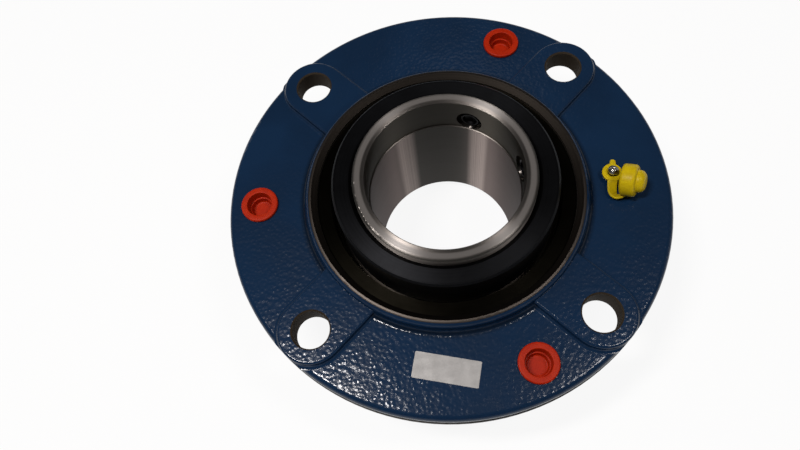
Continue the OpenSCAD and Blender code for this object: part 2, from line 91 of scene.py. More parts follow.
# %% [markdown]
# ## Small helpers for node trees
#
# Materials and geometry trees are both graphs of nodes. Two short helpers keep them readable: one adds
# a node and fills its sockets, and one adds a math node. A value that is a socket gets linked, and any
# other value is written into the socket.

# %% Node helpers
def add(tree, kind, settings=None, **sockets):
    """A new node. settings are its own properties, sockets its inputs by name or by i0, i1, ..."""
    node = tree.nodes.new(kind)
    for key, value in (settings or {}).items():
        setattr(node, key, value)
    for key, value in sockets.items():
        is_index = key[0] == "i" and key[1:].isdigit()
        plug(tree, node, int(key[1:]) if is_index else key.replace("_", " "), value)
    return node


def plug(tree, node, key, value):
    """Puts a value or a socket into one input of a node."""
    socket = node.inputs[key]
    if isinstance(value, bpy.types.NodeSocket):
        tree.links.new(value, socket)
    else:
        socket.default_value = value


def calc(tree, operation, *values, clamp=False):
    """The result of a math node."""
    node = add(tree, "ShaderNodeMath", {"operation": operation, "use_clamp": clamp})
    for index, value in enumerate(values):
        plug(tree, node, index, value)
    return node.outputs[0]


def step(tree, value, start, end):
    """0 before start, 1 after end, and straight between them."""
    node = add(tree, "ShaderNodeMapRange", Value=value, From_Min=start, From_Max=end)
    return node.outputs["Result"]


def opposite(tree, value):
    """1 minus a value."""
    return calc(tree, "SUBTRACT", 1.0, value)


def between(tree, value, rise, fall):
    """1 between two slopes, 0 outside them. Each slope is its start and its end."""
    return calc(tree, "MULTIPLY", step(tree, value, *rise), opposite(tree, step(tree, value, *fall)))


def blend_colours(tree, factor, first, second):
    """A colour between two others."""
    node = add(tree, "ShaderNodeMix", {"data_type": "RGBA"})
    plug(tree, node, 0, factor)
    plug(tree, node, 6, first)
    plug(tree, node, 7, second)
    return node.outputs[2]


def new_material(name):
    """An empty material with its shader, its tree and its Object coordinates."""
    material = bpy.data.materials.new(name)
    material.use_nodes = True
    tree = material.node_tree
    shader = tree.nodes["Principled BSDF"]
    place = add(tree, "ShaderNodeTexCoord").outputs["Object"]
    return material, tree, shader, place


# %% [markdown]
# ## Floor and light
#
# The unit stands on the end of its pilot. The floor shows white to the camera, and so does what metal
# mirrors of it, but a part of its own shading is kept, so the unit still has a soft shadow. The light
# is that of a room with a dark ceiling and three soft lamps: the paint is dark where it mirrors the
# ceiling, and sparkles where its bumps mirror a lamp. Near the horizon the world is pale. A straight
# look past the floor's edge meets plain white.

# %% Floor
FLOOR_Z = cad_box[0][2]
FLOOR_SIZE = 8
FLOOR_WHITE = 0.9

floor_mesh = bpy.data.meshes.new("floor")
half = FLOOR_SIZE / 2
floor_mesh.from_pydata(
    [(-half, -half, FLOOR_Z), (half, -half, FLOOR_Z), (half, half, FLOOR_Z), (-half, half, FLOOR_Z)],
    [], [(0, 1, 2, 3)])
floor = bpy.data.objects.new("floor", floor_mesh)
bpy.context.scene.collection.objects.link(floor)

floor_material, tree, shader, place = new_material("floor_white")
shader.inputs["Base Color"].default_value = (0.85, 0.85, 0.85, 1)
shader.inputs["Roughness"].default_value = 0.7
path = add(tree, "ShaderNodeLightPath").outputs
seen = calc(tree, "MAXIMUM", path["Is Camera Ray"], path["Is Glossy Ray"])
seen = calc(tree, "MAXIMUM", seen, path["Is Transmission Ray"])
glow = add(tree, "ShaderNodeEmission", Color=(1, 1, 1, 1), Strength=1.0)
mixed = add(tree, "ShaderNodeMixShader", Fac=calc(tree, "MULTIPLY", seen, FLOOR_WHITE))
tree.links.new(shader.outputs[0], mixed.inputs[1])
tree.links.new(glow.outputs[0], mixed.inputs[2])
tree.links.new(mixed.outputs[0], tree.nodes["Material Output"].inputs["Surface"])
floor_mesh.materials.append(floor_material)
print("floor at z =", round(FLOOR_Z / MM, 1), "mm")

# %% World and lamps
CEILING = 0.10
HORIZON = 0.50

world = bpy.data.worlds.new("room")
bpy.context.scene.world = world
world.use_nodes = True
tree = world.node_tree
tree.nodes.clear()
direction = add(tree, "ShaderNodeTexCoord").outputs["Generated"]
height = add(tree, "ShaderNodeSeparateXYZ", Vector=direction).outputs["Z"]
upward = step(tree, height, 0.05, 0.35)
shade = blend_colours(tree, upward, (HORIZON, HORIZON, HORIZON, 1), (CEILING, CEILING, CEILING, 1))
straight = add(tree, "ShaderNodeLightPath").outputs["Is Camera Ray"]
shade = blend_colours(tree, straight, shade, (1, 1, 1, 1))
background = add(tree, "ShaderNodeBackground", Color=shade, Strength=1.0)
output = add(tree, "ShaderNodeOutputWorld")
tree.links.new(background.outputs[0], output.inputs["Surface"])


def soft_lamp(name, place, target, size, watts, colour=(1, 1, 1)):
    """A rectangular lamp at a place that faces a target, both in metres."""
    data = bpy.data.lights.new(name, "AREA")
    data.shape = "RECTANGLE"
    data.size, data.size_y = size
    data.energy = watts
    data.color = colour
    lamp = bpy.data.objects.new(name, data)
    lamp.location = place
    lamp.rotation_euler = (Vector(target) - Vector(place)).to_track_quat("-Z", "Y").to_euler()
    bpy.context.scene.collection.objects.link(lamp)
    return lamp


soft_lamp("left_strip", (-0.42, -0.08, 1.2), (0, 0, 0), (0.10, 0.30), 12.0, (1.0, 0.96, 0.94))
soft_lamp("right_strip", (0.52, -0.09, 1.2), (0, 0, 0), (0.11, 0.30), 4.5, (1.0, 0.96, 0.94))
soft_lamp("far_lamp", (0.09, 0.80, 1.2), (0, 0, 0), (0.26, 0.18), 0.10, (1.0, 0.97, 0.94))
bpy.context.scene.view_settings.view_transform = "Standard"
print("lamps:", [lamp.name for lamp in bpy.data.lights])

# %% [markdown]
# ## Shared surface effects
#
# Each kind of small detail is a node group, so that any finish can use it. Cast skin is a field of
# rounded lumps a few millimetres wide with finer pits between them. Turning marks are fine rings about
# the shaft axis. Grime is a slow, cloudy change that breaks up a colour. Painted reflection bands are two
# bright streaks painted along a bore, placed by their angle, with a browner painted reflection on the side
# beyond each of them.

# %% Node groups
def new_group(name, inputs, outputs):
    """An empty shader group with value inputs, a Vector input and named outputs."""
    group = bpy.data.node_groups.new(name, "ShaderNodeTree")
    group.interface.new_socket("Vector", in_out="INPUT", socket_type="NodeSocketVector")
    for key, value in inputs.items():
        socket = group.interface.new_socket(key, in_out="INPUT", socket_type="NodeSocketFloat")
        socket.default_value = value
    for key in outputs:
        group.interface.new_socket(key, in_out="OUTPUT", socket_type="NodeSocketFloat")
    return group, add(group, "NodeGroupInput").outputs, add(group, "NodeGroupOutput")


cast_skin, given, result = new_group(
    "cast_skin", {"Lump Scale": 330, "Pit Scale": 900}, ["Height", "Patch"])
lumps = add(cast_skin, "ShaderNodeTexVoronoi", {"feature": "SMOOTH_F1"},
            Vector=given["Vector"], Scale=given["Lump Scale"], Smoothness=0.8, Randomness=1.0)
swell = add(cast_skin, "ShaderNodeTexNoise", Vector=given["Vector"], Scale=120, Detail=2.0)
pits = add(cast_skin, "ShaderNodeTexNoise", Vector=given["Vector"], Scale=given["Pit Scale"], Detail=2.0)
dome = calc(cast_skin, "SUBTRACT", 1.0, lumps.outputs["Distance"])
both = calc(cast_skin, "MULTIPLY_ADD", pits.outputs["Fac"], 0.25, dome)
both = calc(cast_skin, "MULTIPLY_ADD", swell.outputs["Fac"], 0.8, both)
plug(cast_skin, result, "Height", both)
patch = add(cast_skin, "ShaderNodeTexNoise", Vector=given["Vector"], Scale=22, Detail=3.0)
plug(cast_skin, result, "Patch", step(cast_skin, patch.outputs["Fac"], 0.38, 0.62))

turning, given, result = new_group(
    "turning_marks", {"Pitch Scale": 2600, "Wander": 0.00004}, ["Height", "Radius"])
parts = add(turning, "ShaderNodeSeparateXYZ", Vector=given["Vector"]).outputs
flat = add(turning, "ShaderNodeCombineXYZ", X=parts["X"], Y=parts["Y"], Z=0.0).outputs[0]
radius = add(turning, "ShaderNodeVectorMath", {"operation": "LENGTH"}, i0=flat).outputs["Value"]
wander = add(turning, "ShaderNodeTexNoise", Vector=given["Vector"], Scale=60).outputs["Fac"]
shift = calc(turning, "MULTIPLY", wander, given["Wander"])
along = add(turning, "ShaderNodeCombineXYZ", X=calc(turning, "ADD", radius, shift),
            Y=calc(turning, "ADD", parts["Z"], shift), Z=0.0).outputs[0]
marks = add(turning, "ShaderNodeTexNoise", {"noise_dimensions": "2D"},
            Vector=along, Scale=given["Pitch Scale"], Detail=3.0, Roughness=0.6)
plug(turning, result, "Height", marks.outputs["Fac"])
plug(turning, result, "Radius", radius)

grime, given, result = new_group("grime", {"Scale": 45}, ["Mask"])
cloud = add(grime, "ShaderNodeTexNoise",
            Vector=given["Vector"], Scale=given["Scale"], Detail=5.0, Roughness=0.6)
plug(grime, result, "Mask", step(grime, cloud.outputs["Fac"], 0.35, 0.7))

# Painted reflections: two bright streaks along the bore and a browner tone at its sides, set by their angle
# about the axis.
painted_reflection, given, result = new_group(
    "painted_reflection_bands", {"First": 120.5, "Second": 59.0, "Middle": 92.0, "Width": 7.5}, ["Band", "Side"])
parts = add(painted_reflection, "ShaderNodeSeparateXYZ", Vector=given["Vector"]).outputs
turn = calc(painted_reflection, "DEGREES", calc(painted_reflection, "ARCTAN2", parts["Y"], parts["X"]))
lines = add(painted_reflection, "ShaderNodeTexNoise", {"noise_dimensions": "1D"},
            W=turn, Scale=1.6, Detail=4.0, Roughness=0.7).outputs["Fac"]
ragged = calc(painted_reflection, "MULTIPLY_ADD", lines, 4.0, -2.0)
away = {}
for key in ("First", "Second", "Middle"):
    away[key] = calc(painted_reflection, "ABSOLUTE", calc(painted_reflection, "SUBTRACT", turn, given[key]))
    away[key] = calc(painted_reflection, "ADD", away[key], ragged)
nearest = calc(painted_reflection, "MINIMUM", away["First"], away["Second"])
band = opposite(painted_reflection, step(painted_reflection, calc(painted_reflection, "DIVIDE", nearest, given["Width"]), 0.7, 1.3))
plug(painted_reflection, result, "Band", calc(painted_reflection, "MULTIPLY", band, step(painted_reflection, lines, 0.15, 0.75)))
plug(painted_reflection, result, "Side", step(painted_reflection, away["Middle"], 18.0, 42.0))
print("groups:", [group.name for group in bpy.data.node_groups])


def use_group(tree, group, place, **values):
    """Places a node group in a material."""
    node = add(tree, "ShaderNodeGroup", {"node_tree": group}, Vector=place, **values)
    return node.outputs


def bump(tree, shader, height, depth, strength=1.0):
    """Feeds a height to the shader's Normal. depth is in metres."""
    node = add(tree, "ShaderNodeBump", Height=height, Distance=depth, Strength=strength)
    plug(tree, shader, "Normal", node.outputs["Normal"])


# %% [markdown]
# ## Enamel over a casting
#
# The housing is one iron casting. Its outside was sprayed with glossy navy enamel, and after that the
# bolt holes, the mouth of the bore, the lower edge of the flange and the pilot were machined bare. One
# material does both: a mask made of distances from the real features picks bare iron or paint, with
# the same numbers that the CAD model has. The paint is darker in the corner between flange and hub, as
# painted shade.

# %% Where the housing is bare
BOLT_XY = 117.475 * MM / sqrt(2)
BOLT_BARE = 12.0 * MM
RIM_BARE = 85.1 * MM
RIM_Z = 14.8 * MM
CHAMFER_R = 83.35 * MM
BAND_TOP = 2.35 * MM
BAND_R = 137.4 * MM
FOOT_TOP = 0.1 * MM

enamel, tree, shader, place = new_material("navy_enamel")
parts = add(tree, "ShaderNodeSeparateXYZ", Vector=place).outputs
marks = use_group(tree, turning, place)
radius = marks["Radius"]
squares = []
for key in ("X", "Y"):
    to_bolt = calc(tree, "SUBTRACT", calc(tree, "ABSOLUTE", parts[key]), BOLT_XY)
    squares.append(calc(tree, "MULTIPLY", to_bolt, to_bolt))
in_hole = calc(tree, "LESS_THAN", calc(tree, "SQRT", calc(tree, "ADD", *squares)), BOLT_BARE)
in_bore = calc(tree, "LESS_THAN", radius, RIM_BARE)
on_rim = calc(tree, "MULTIPLY", in_bore, calc(tree, "GREATER_THAN", parts["Z"], RIM_Z))
past_chamfer = calc(tree, "GREATER_THAN", radius, CHAMFER_R)
on_band = calc(tree, "MULTIPLY", calc(tree, "LESS_THAN", parts["Z"], BAND_TOP),
               calc(tree, "GREATER_THAN", radius, BAND_R))
below = calc(tree, "LESS_THAN", parts["Z"], FOOT_TOP)
bare = calc(tree, "MAXIMUM", calc(tree, "MAXIMUM", in_hole, in_bore), calc(tree, "MAXIMUM", on_band, below))
dull = calc(tree, "MAXIMUM", in_hole, on_band)
bright = calc(tree, "SUBTRACT", bare, dull)
print("bolt holes at", round(BOLT_XY / MM, 2), "mm across and up")

# %% Paint and iron
NAVY = (0.0042, 0.0185, 0.050, 1)
NAVY_DEEP = (0.0030, 0.0145, 0.040, 1)
NAVY_CORNER_SHADE = (0.0008, 0.0050, 0.0140, 1)
CORNER_SHADE_RISE = (86.6 * MM, 88.6 * MM)
CORNER_SHADE_FALL = (89.6 * MM, 92.6 * MM)
CORNER_SHADE_TOP = (11.0 * MM, 15.0 * MM)
PAINT_SHINE = 0.3
IRON = (0.27, 0.245, 0.225, 1)
IRON_DARK = (0.16, 0.145, 0.13, 1)
HOLE_IRON = (0.022, 0.014, 0.006, 1)
BAND_IRON = (0.065, 0.062, 0.058, 1)
CHAMFER_IRON = (0.045, 0.038, 0.032, 1)
RIM_IRON = (0.046, 0.039, 0.034, 1)

skin = use_group(tree, cast_skin, place, Lump_Scale=480, Pit_Scale=1200)
dirt = use_group(tree, grime, place)["Mask"]
# Painted shade: the paint is darker in the corner between flange and hub.
corner = calc(tree, "MULTIPLY", between(tree, radius, CORNER_SHADE_RISE, CORNER_SHADE_FALL),
              opposite(tree, step(tree, parts["Z"], *CORNER_SHADE_TOP)))
paint = blend_colours(tree, skin["Patch"], NAVY, NAVY_DEEP)
paint = blend_colours(tree, corner, paint, NAVY_CORNER_SHADE)
iron = blend_colours(tree, dirt, IRON, IRON_DARK)
iron = blend_colours(tree, in_hole, iron, HOLE_IRON)
iron = blend_colours(tree, on_band, iron, BAND_IRON)
iron = blend_colours(tree, on_rim, iron, blend_colours(tree, past_chamfer, CHAMFER_IRON, RIM_IRON))
shader.inputs["Specular IOR Level"].default_value = PAINT_SHINE
plug(tree, shader, "Base Color", blend_colours(tree, bare, paint, iron))
plug(tree, shader, "Metallic", bright)
print("paint and iron:", len(tree.nodes), "nodes")

# %% Gloss and relief of the housing
EDGE_SMOOTH = (135.5 * MM, 137.0 * MM)
SKIN_MIDDLE = 1.27
SKIN_DEPTH = 0.14 * MM
MARKS_SHARE = 0.06

gloss = calc(tree, "MULTIPLY_ADD", skin["Patch"], 0.05, 0.145)
turned = calc(tree, "MULTIPLY_ADD", marks["Height"], 0.2, 0.32)
turned = calc(tree, "MULTIPLY_ADD", dull, 0.4, turned)
painted = opposite(tree, bare)
plug(tree, shader, "Roughness", calc(tree, "ADD", calc(tree, "MULTIPLY", turned, bare),
     calc(tree, "MULTIPLY", gloss, painted)))
smooth = calc(tree, "MAXIMUM", bare, step(tree, radius, *EDGE_SMOOTH))
lumps = calc(tree, "SUBTRACT", skin["Height"], SKIN_MIDDLE)
lumps = calc(tree, "MULTIPLY", lumps, opposite(tree, smooth))
fine = calc(tree, "MULTIPLY", calc(tree, "MULTIPLY", marks["Height"], bright), MARKS_SHARE)
bump(tree, shader, calc(tree, "ADD", lumps, fine), SKIN_DEPTH)
print("paint:", enamel.name)

# %% [markdown]
# ## Turned and ground steel
#
# Rings that were turned or ground show fine circular marks. The marks stretch a highlight across them,
# so the shader is anisotropic, with its tangent running round the shaft axis. The same recipe with
# other colours and depths gives the inner ring, the carrier, the collar and the retaining ring.

# %% Recipes for metal
def round_tangent(tree, place):
    """The direction that runs round the shaft axis at each point."""
    axis = add(tree, "ShaderNodeVectorMath", {"operation": "CROSS_PRODUCT"}, i0=(0, 0, 1), i1=place)
    unit = add(tree, "ShaderNodeVectorMath", {"operation": "NORMALIZE"}, i0=axis.outputs[0])
    to_world = {"vector_type": "VECTOR", "convert_from": "OBJECT", "convert_to": "WORLD"}
    return add(tree, "ShaderNodeVectorTransform", to_world, i0=unit.outputs[0]).outputs[0]


def turned_metal(name, colour, dark, rough, marks_depth, anisotropy, pitch=2600, dirt_scale=60):
    """A metal that was turned or ground about the shaft axis, with its parts for later changes."""
    material, tree, shader, place = new_material(name)
    marks = use_group(tree, turning, place, Pitch_Scale=pitch)
    dirt = use_group(tree, grime, place, Scale=dirt_scale)["Mask"]
    shader.inputs["Metallic"].default_value = 1
    shader.inputs["Anisotropic"].default_value = anisotropy
    shader.inputs["Anisotropic Rotation"].default_value = 0.25
    shade = blend_colours(tree, dirt, colour, dark)
    rough = calc(tree, "MULTIPLY_ADD", marks["Height"], 0.16, rough)
    plug(tree, shader, "Base Color", shade)
    plug(tree, shader, "Roughness", rough)
    plug(tree, shader, "Tangent", round_tangent(tree, place))
    bump(tree, shader, marks["Height"], marks_depth)
    return material, shade, rough, marks["Radius"]


def plain_metal(name, colour, dark, rough, grain=1500, depth=0.00001, dirt_scale=200):
    """A small metal piece with a fine grain and a little dirt."""
    material, tree, shader, place = new_material(name)
    dirt = use_group(tree, grime, place, Scale=dirt_scale)["Mask"]
    speck = add(tree, "ShaderNodeTexNoise", Vector=place, Scale=grain, Detail=3.0).outputs["Fac"]
    shader.inputs["Metallic"].default_value = 1
    plug(tree, shader, "Base Color", blend_colours(tree, dirt, colour, dark))
    plug(tree, shader, "Roughness", calc(tree, "MULTIPLY_ADD", speck, 0.2, rough))
    bump(tree, shader, speck, depth)
    return material


# %% [markdown]
# The inner ring needs more than the recipe, and light and shade are painted into it. Its face has a
# painted highlight: a pale, half metallic band that scatters light, so it is pale from all sides, and a
# darker painted shade on the rounded lip outside it. The wall of the relief and the bore are painted dark
# as shade. The bore has painted reflections: a browner tone at its sides and two bright streaks.

# %% Ground steel of the inner ring
BORE_R = 46.83 * MM
RELIEF_R = 47.60 * MM
LAND_R = 55.0 * MM
# Painted highlight: a pale band on the ring's face, half metallic, so it looks lit from all sides.
FACE_HIGHLIGHT_RISE = (49.6 * MM, 50.6 * MM)
FACE_HIGHLIGHT_FALL = (52.8 * MM, 54.2 * MM)
# Painted shade: the rounded lip outside the pale band is darker.
LIP_RISE = (53.4 * MM, 54.4 * MM)
FACE_HIGHLIGHT = (0.175, 0.162, 0.153, 1)
LIP_SHADE = (0.08, 0.075, 0.068, 1)
# Painted shade: the relief wall and the middle of the bore are much darker than the face.
RELIEF = (0.045, 0.041, 0.034, 1)
BORE_MIDDLE_SHADE = (0.060, 0.056, 0.051, 1)
# Painted reflections in the bore: a browner tone at its sides and two bright streaks.
BORE_SIDE_REFLECTION = (0.115, 0.094, 0.089, 1)
BORE_REFLECTION = (0.34, 0.29, 0.27, 1)

ground, shade, rough, radius = turned_metal(
    "ground_steel", (0.22, 0.20, 0.184, 1), (0.18, 0.163, 0.15, 1), 0.32, 0.000008, 1.0)
tree = ground.node_tree
shader = tree.nodes["Principled BSDF"]
place = tree.nodes["Texture Coordinate"].outputs["Object"]
face_highlight = between(tree, radius, FACE_HIGHLIGHT_RISE, FACE_HIGHLIGHT_FALL)
on_lip_shade = calc(tree, "MULTIPLY", step(tree, radius, *LIP_RISE),
              calc(tree, "LESS_THAN", radius, LAND_R - 0.05 * MM))
on_relief = calc(tree, "COMPARE", radius, RELIEF_R, 0.1 * MM)
bored = calc(tree, "LESS_THAN", radius, BORE_R + 0.1 * MM)
# The bore's colour holds painted shade and painted reflections, placed by angle about the axis.
bands = use_group(tree, painted_reflection, place)
bore_shade_and_reflections = blend_colours(tree, bands["Side"], BORE_MIDDLE_SHADE, BORE_SIDE_REFLECTION)
bore_shade_and_reflections = blend_colours(tree, bands["Band"], bore_shade_and_reflections, BORE_REFLECTION)
for mask, tone in ((face_highlight, FACE_HIGHLIGHT), (on_lip_shade, LIP_SHADE), (on_relief, RELIEF), (bored, bore_shade_and_reflections)):
    shade = blend_colours(tree, mask, shade, tone)
inside = calc(tree, "MAXIMUM", on_relief, bored)
plug(tree, shader, "Base Color", shade)
plug(tree, shader, "Metallic", calc(tree, "MULTIPLY_ADD", face_highlight, -0.5, 1.0))
plug(tree, shader, "Roughness", calc(tree, "MULTIPLY_ADD", inside, 0.02, rough))
print("bore of", round(2 * BORE_R / MM, 2), "mm")

# %% Other metals
race = turned_metal(
    "honed_raceway", (0.56, 0.53, 0.5, 1), (0.46, 0.43, 0.4, 1), 0.12, 0.000004, 0.4)[0]
# Painted shade: the carrier's turned steel is coloured nearly black. The guide ring shares this finish.
carrier = turned_metal(
    "turned_carrier_painted_shade", (0.022, 0.019, 0.014, 1), (0.014, 0.012, 0.009, 1), 0.26, 0.00002, 0.5)[0]
# The retaining ring is dark oiled steel, and painted shade makes it nearly black in its gap.
spring_ring = turned_metal(
    "oiled_ring_and_painted_shade", (0.0048, 0.0042, 0.0030, 1), (0.0030, 0.0026, 0.0018, 1), 0.24, 0.00001, 0.5)[0]
oxide = turned_metal(
    "black_oxide", (0.0130, 0.0134, 0.0150, 1), (0.0100, 0.0102, 0.0112, 1), 0.28, 0.00001, 0.6)[0]
shroud_sheet = turned_metal(
    "drawn_shroud", (0.06, 0.052, 0.044, 1), (0.04, 0.034, 0.028, 1), 0.28, 0.00001, 0.3)[0]
screw_black = plain_metal("black_screw", (0.010, 0.010, 0.011, 1), (0.006, 0.006, 0.0065, 1), 0.38)
zinc = plain_metal("zinc_plate", (0.62, 0.61, 0.58, 1), (0.40, 0.38, 0.34, 1), 0.16)
spring_wire = plain_metal("spring_wire", (0.45, 0.44, 0.42, 1), (0.3, 0.29, 0.27, 1), 0.2)
polished = plain_metal("polished_steel", (0.66, 0.65, 0.63, 1), (0.55, 0.54, 0.52, 1), 0.06, 2500, 0.000002)
brass = plain_metal("cage_brass", (0.62, 0.44, 0.19, 1), (0.42, 0.29, 0.12, 1), 0.26)
print("metals:", len(bpy.data.materials))

# %% [markdown]
# ## Plastic, rubber and foil
#
# The plugs and the cap are soft plastic from a mould: a clear strong colour, a smooth skin with a very
# faint ripple, and a little light that scatters inside. The seal lips are matt black rubber. The label
# is silver foil with a fine brushed grain and a few creases. It stays plain, with nothing on it.

# %% Plastic, rubber and foil materials
def moulded(name, colour, deep, rough, scatter, scatter_colour, ripple=0.000015):
    """Soft moulded plastic."""
    material, tree, shader, place = new_material(name)
    dirt = use_group(tree, grime, place, Scale=160)["Mask"]
    wave = add(tree, "ShaderNodeTexNoise", Vector=place, Scale=380, Detail=2.0).outputs["Fac"]
    plug(tree, shader, "Base Color", blend_colours(tree, dirt, colour, deep))
    plug(tree, shader, "Roughness", calc(tree, "MULTIPLY_ADD", wave, 0.12, rough))
    shader.inputs["Specular IOR Level"].default_value = 0.1
    shader.inputs["Subsurface Weight"].default_value = scatter
    shader.inputs["Subsurface Radius"].default_value = scatter_colour
    shader.inputs["Subsurface Scale"].default_value = 0.002
    bump(tree, shader, wave, ripple)
    return material


red_plastic = moulded(
    "red_plastic", (0.36, 0.018, 0.002, 1), (0.30, 0.012, 0.0015, 1), 0.36, 0.1, (1, 0.2, 0.1))
yellow_plastic = moulded(
    "yellow_plastic", (0.52, 0.385, 0.004, 1), (0.40, 0.28, 0.003, 1), 0.30, 0.15, (1, 0.8, 0.1))

rubber, tree, shader, place = new_material("nitrile_rubber")
grain = add(tree, "ShaderNodeTexNoise", Vector=place, Scale=2200, Detail=3.0).outputs["Fac"]
dust = use_group(tree, grime, place, Scale=120)["Mask"]
plug(tree, shader, "Base Color", blend_colours(tree, dust, (0.012, 0.012, 0.013, 1), (0.024, 0.022, 0.02, 1)))
plug(tree, shader, "Roughness", calc(tree, "MULTIPLY_ADD", grain, 0.2, 0.45))
bump(tree, shader, grain, 0.00002)

LABEL_TURN = 9.2
foil, tree, shader, place = new_material("silver_foil")
brush = add(tree, "ShaderNodeMapping",
            Vector=place, Rotation=(0, 0, radians(LABEL_TURN)), Scale=(500, 6000, 1)).outputs[0]
streak = add(tree, "ShaderNodeTexNoise", Vector=brush, Scale=1.0, Detail=2.0).outputs["Fac"]
crease = add(tree, "ShaderNodeTexNoise", Vector=place, Scale=90, Detail=3.0).outputs["Fac"]
dull = use_group(tree, grime, place, Scale=220)["Mask"]
plug(tree, shader, "Base Color", blend_colours(tree, dull, (0.285, 0.277, 0.27, 1), (0.245, 0.238, 0.232, 1)))
shader.inputs["Metallic"].default_value = 0.25
plug(tree, shader, "Roughness", calc(tree, "MULTIPLY_ADD", streak, 0.2, 0.36))
bump(tree, shader, calc(tree, "MULTIPLY_ADD", streak, 0.05, crease), 0.0002)
print("materials:", len(bpy.data.materials))

# %% [markdown]
# ## Bodies made of loops
#
# A turned or moulded body is a stack of closed loops, one above the other, that are joined by faces. A
# lathe part has circles for loops, and a hexagon can fade into a circle. Real tools leave no sharp
# corner, so a helper first puts an arc into each corner of a profile. The same few functions then make
# plugs, cap, nipple and screws from closed shapes. All lengths here are in millimetres, and new_piece
# turns them into metres.

# %% Loop helpers
def rounded(corners, steps=5):
    """A profile with an arc in each corner. Each corner is across, up and the radius of its arc."""
    points = []
    for index, (across, up, radius) in enumerate(corners):
        here = Vector((across, up))
        if radius == 0 or index in (0, len(corners) - 1):
            points.append(here)
            continue
        back = (Vector(corners[index - 1][:2]) - here).normalized()
        ahead = (Vector(corners[index + 1][:2]) - here).normalized()
        half_angle = back.angle(ahead) / 2
        start, end = here + back * radius / tan(half_angle), here + ahead * radius / tan(half_angle)
        middle = here + (back + ahead).normalized() * radius / sin(half_angle)
        first, last = start - middle, end - middle
        for k in range(steps + 1):
            points.append(middle + first.lerp(last, k / steps).normalized() * radius)
    return points


def circle(radius, up, steps=96):
    """A loop of points about Z."""
    turns = [2 * pi * k / steps for k in range(steps)]
    return [Vector((radius * cos(turn), radius * sin(turn), up)) for turn in turns]


def turned_loops(profile, steps=96):
    """The loops of a turned body, from a profile of points across and up."""
    return [circle(across, up, steps) for across, up in profile]


def add_loops(shape, loops, ring=False):
    """Joins loops with faces. A ring comes back to its first loop, and other bodies get end faces."""
    rows = [[shape.verts.new(point) for point in loop] for loop in loops]
    count = len(rows[0])
    pairs = list(zip(rows, rows[1:] + rows[:1])) if ring else list(zip(rows, rows[1:]))
    for low, high in pairs:
        for k in range(count):
            shape.faces.new((low[k], low[(k + 1) % count], high[(k + 1) % count], high[k]))
    if not ring:
        shape.faces.new(rows[0][::-1])
        shape.faces.new(rows[-1])


def joined(*parts):
    """One bmesh out of several closed ones, with the faces of each turned outward."""
    whole = bmesh.new()
    for part in parts:
        bmesh.ops.recalc_face_normals(part, faces=part.faces)
        loose = bpy.data.meshes.new("part")
        part.to_mesh(loose)
        part.free()
        whole.from_mesh(loose)
        bpy.data.meshes.remove(loose)
    for face in whole.faces:
        face.material_index = 0
    return whole


def new_piece(name, shape, material, place=Matrix()):
    """Turns a bmesh in millimetres into a smooth object whose mesh holds its place."""
    bmesh.ops.remove_doubles(shape, verts=shape.verts, dist=0.0005)
    bmesh.ops.recalc_face_normals(shape, faces=shape.faces)
    mesh = bpy.data.meshes.new(name)
    shape.to_mesh(mesh)
    shape.free()
    mesh.transform(Matrix.Scale(MM, 4) @ place)
    mesh.materials.append(material)
    mesh.polygons.foreach_set("use_smooth", [True] * len(mesh.polygons))
    mesh.set_sharp_from_angle(angle=radians(35))
    piece = bpy.data.objects.new(name, mesh)
    bpy.context.scene.collection.objects.link(piece)
    return piece


print("a corner of 1 mm gets", len(rounded([(0, 0, 0), (5, 0, 1), (5, 5, 0)])) - 2, "points")

# %% [markdown]
# ## Plugs of the jack holes
#
# Each jack hole is closed by a soft plug. A wide flange lies on the paint, a first step goes down inside
# it, and a deep cup stands in the hole. The mould leaves each edge round, the upper outer one most.

# %% Jack plugs
FLANGE_T = 10.4
PLUG = rounded([
    (7.80, -9.2, 0), (8.15, -0.5, 0), (8.15, 0.0, 0.15), (11.70, 0.0, 0.3), (11.75, 2.3, 0.95),
    (7.85, 2.3, 0.45), (7.35, -3.6, 0.25), (6.45, -3.6, 0.3), (6.2, -7.7, 0.9), (4.5, -7.7, 0)])

for number in (1, 2, 3):
    name = f"jack_plug_{number}"
    low, high = (Vector(corner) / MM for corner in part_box(name))
    shape = bmesh.new()
    add_loops(shape, turned_loops(PLUG))
    middle = Vector(((low.x + high.x) / 2, (low.y + high.y) / 2, FLANGE_T))
    plug_piece = new_piece(f"moulded_plug_{number}", shape, red_plastic, Matrix.Translation(middle))
    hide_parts(name)
    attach(plug_piece, name)
print("plug faces:", len(plug_piece.data.polygons))

# %% [markdown]
# ## Protective cap
#
# The cap is one yellow moulding. A thin ring sits loose round the neck of the nipple, a strap runs from
# it down to the flange and up the cap's skirt, and the cap lies on its side. Cap and ring are turned
# shapes. The strap follows a curve, so Geometry Nodes sweeps it: a Bezier segment is the path, a rounded
# rectangle is the section, and a tilt turns the section from level to the slope of the skirt.

# %% Cap, ring and tab
NIPPLE = Vector((102.05, 3.21, 0))
CAP_MOUTH = Vector((105.65, -3.69, 19.15))
CAP_LIFT = radians(18)
CAP_TURN = radians(-22)
RING_Z = 13.9
CAP = rounded([
    (3.3, 9.6, 0), (3.3, 6.9, 0.3), (7.5, 6.9, 0.6), (7.5, 0.0, 0.35), (9.7, 0.0, 1.8), (9.7, 9.1, 2.1),
    (6.75, 9.1, 0.6), (6.7, 14.0, 3.9), (2.6, 14.0, 0)], 7)
RING = rounded([
    (2.8, 0.8, 0), (2.8, 0.0, 0.3), (6.0, 0.0, 0.5), (6.0, 1.6, 0.5), (2.8, 1.6, 0.3), (2.8, 0.81, 0)])

